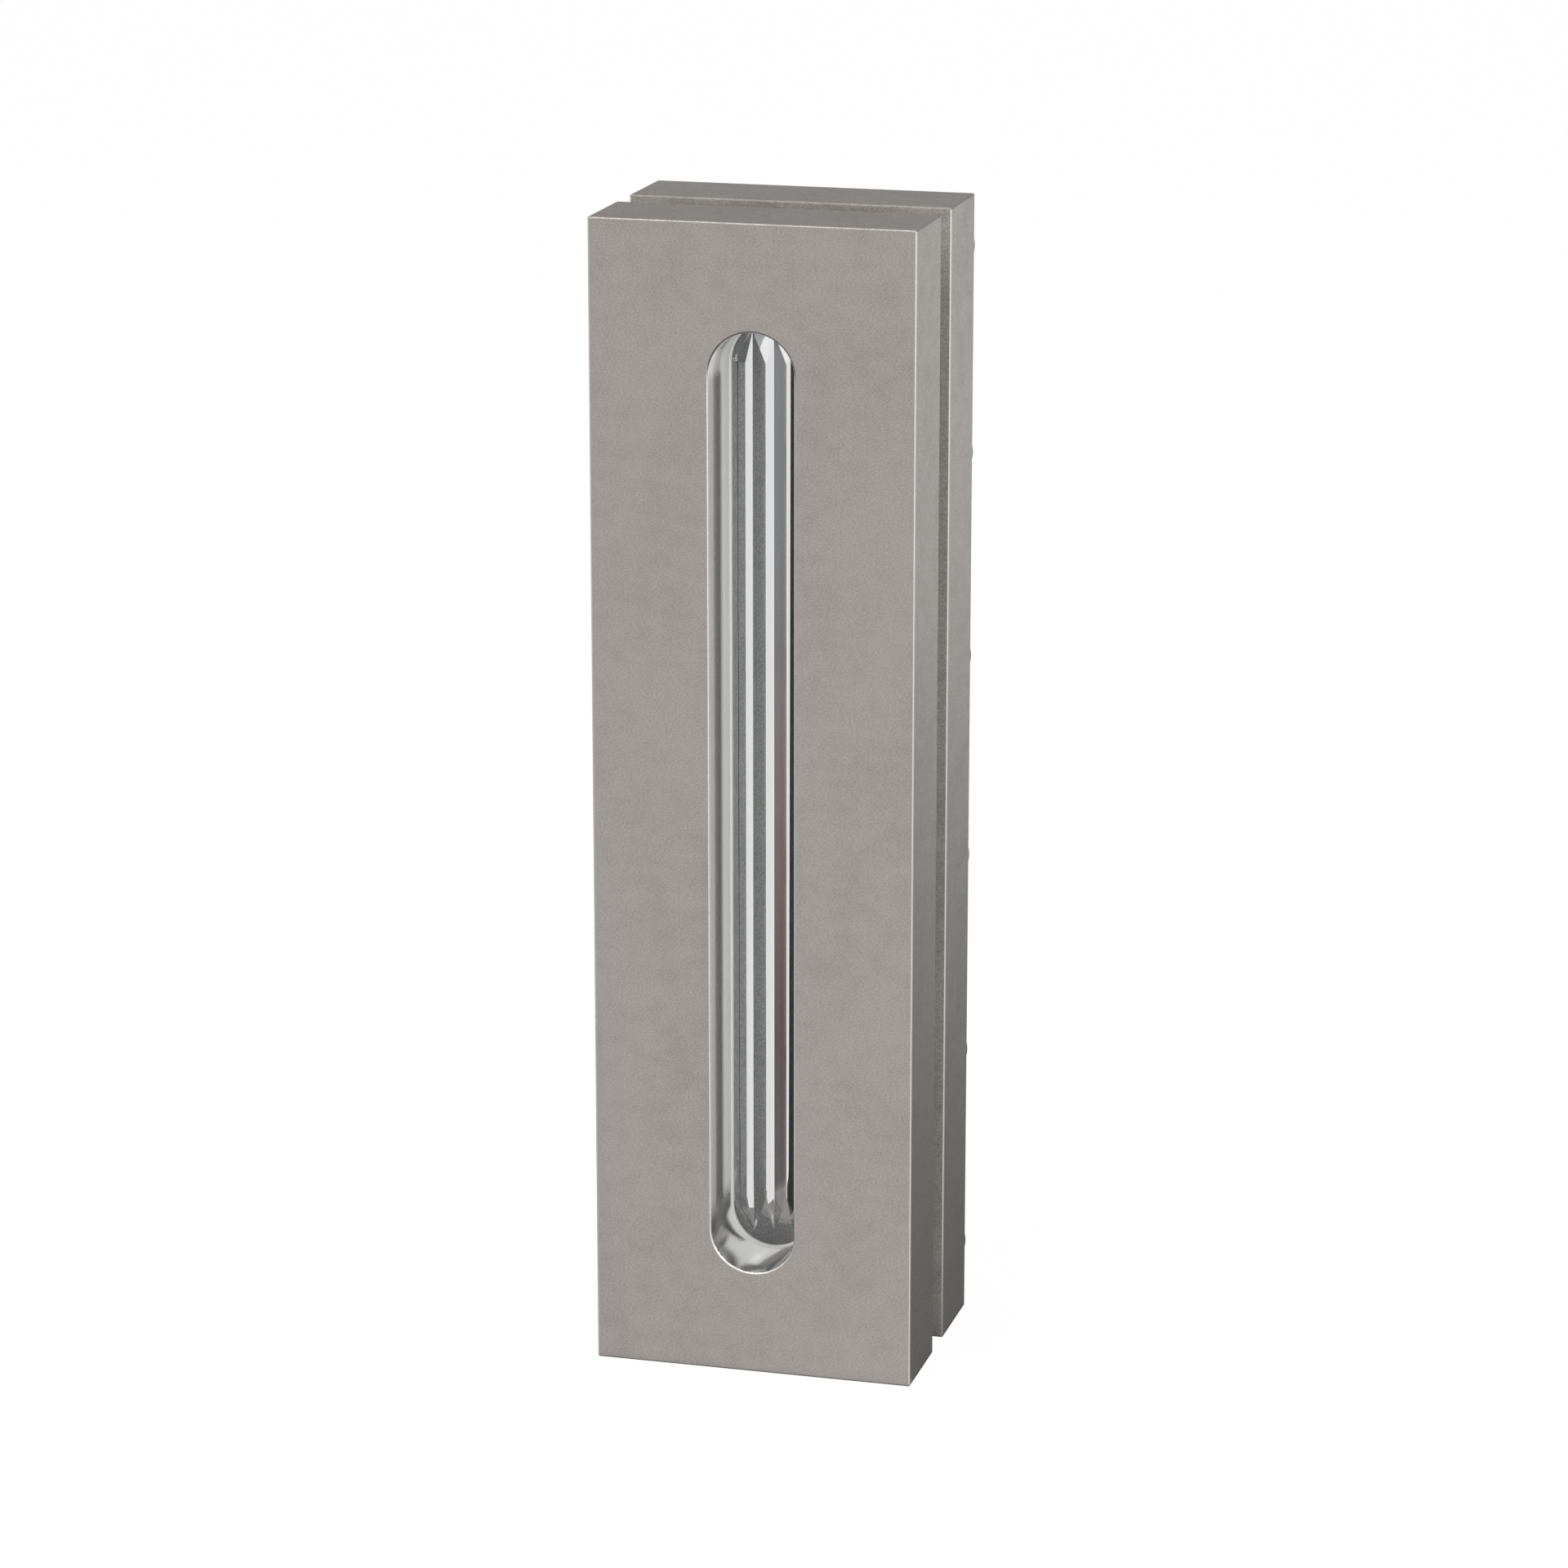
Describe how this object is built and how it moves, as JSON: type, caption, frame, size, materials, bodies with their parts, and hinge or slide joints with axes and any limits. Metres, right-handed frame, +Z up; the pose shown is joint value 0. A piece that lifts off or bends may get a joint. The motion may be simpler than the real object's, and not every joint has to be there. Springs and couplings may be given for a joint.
{
  "type": "reflex level gauge",
  "caption": "Weld-on reflex level gauge: a ridged glass block clamped between two thick rectangular steel plates with a long round-ended window, cover plate held by cap screws.",
  "frame": {"origin": "centre of the window's opening on the weld face", "axes": "+Z up along the window, +Y from the weld face towards the cover plate, +X to the right seen from the vessel side"},
  "size_m": [0.08, 0.0688, 0.286],
  "materials": {
    "weld_plate_steel": "satin",
    "cover_plate_steel": "satin",
    "glass": "gloss",
    "sealing_gasket": "matte",
    "cushion_gasket": "matte",
    "screw_steel": "satin"
  },
  "bodies": {
    "root": {"weld_plate": "weld_plate_steel", "cover_plate": "cover_plate_steel", "reflex_glass": "glass", "sealing_gasket": "sealing_gasket", "cushion_gasket": "cushion_gasket", "cover_screw_left_1": "screw_steel", "cover_screw_left_2": "screw_steel", "cover_screw_left_3": "screw_steel", "cover_screw_left_4": "screw_steel", "cover_screw_left_5": "screw_steel", "cover_screw_left_6": "screw_steel", "cover_screw_right_1": "screw_steel", "cover_screw_right_2": "screw_steel", "cover_screw_right_3": "screw_steel", "cover_screw_right_4": "screw_steel", "cover_screw_right_5": "screw_steel", "cover_screw_right_6": "screw_steel"}
  },
  "joints": []
}
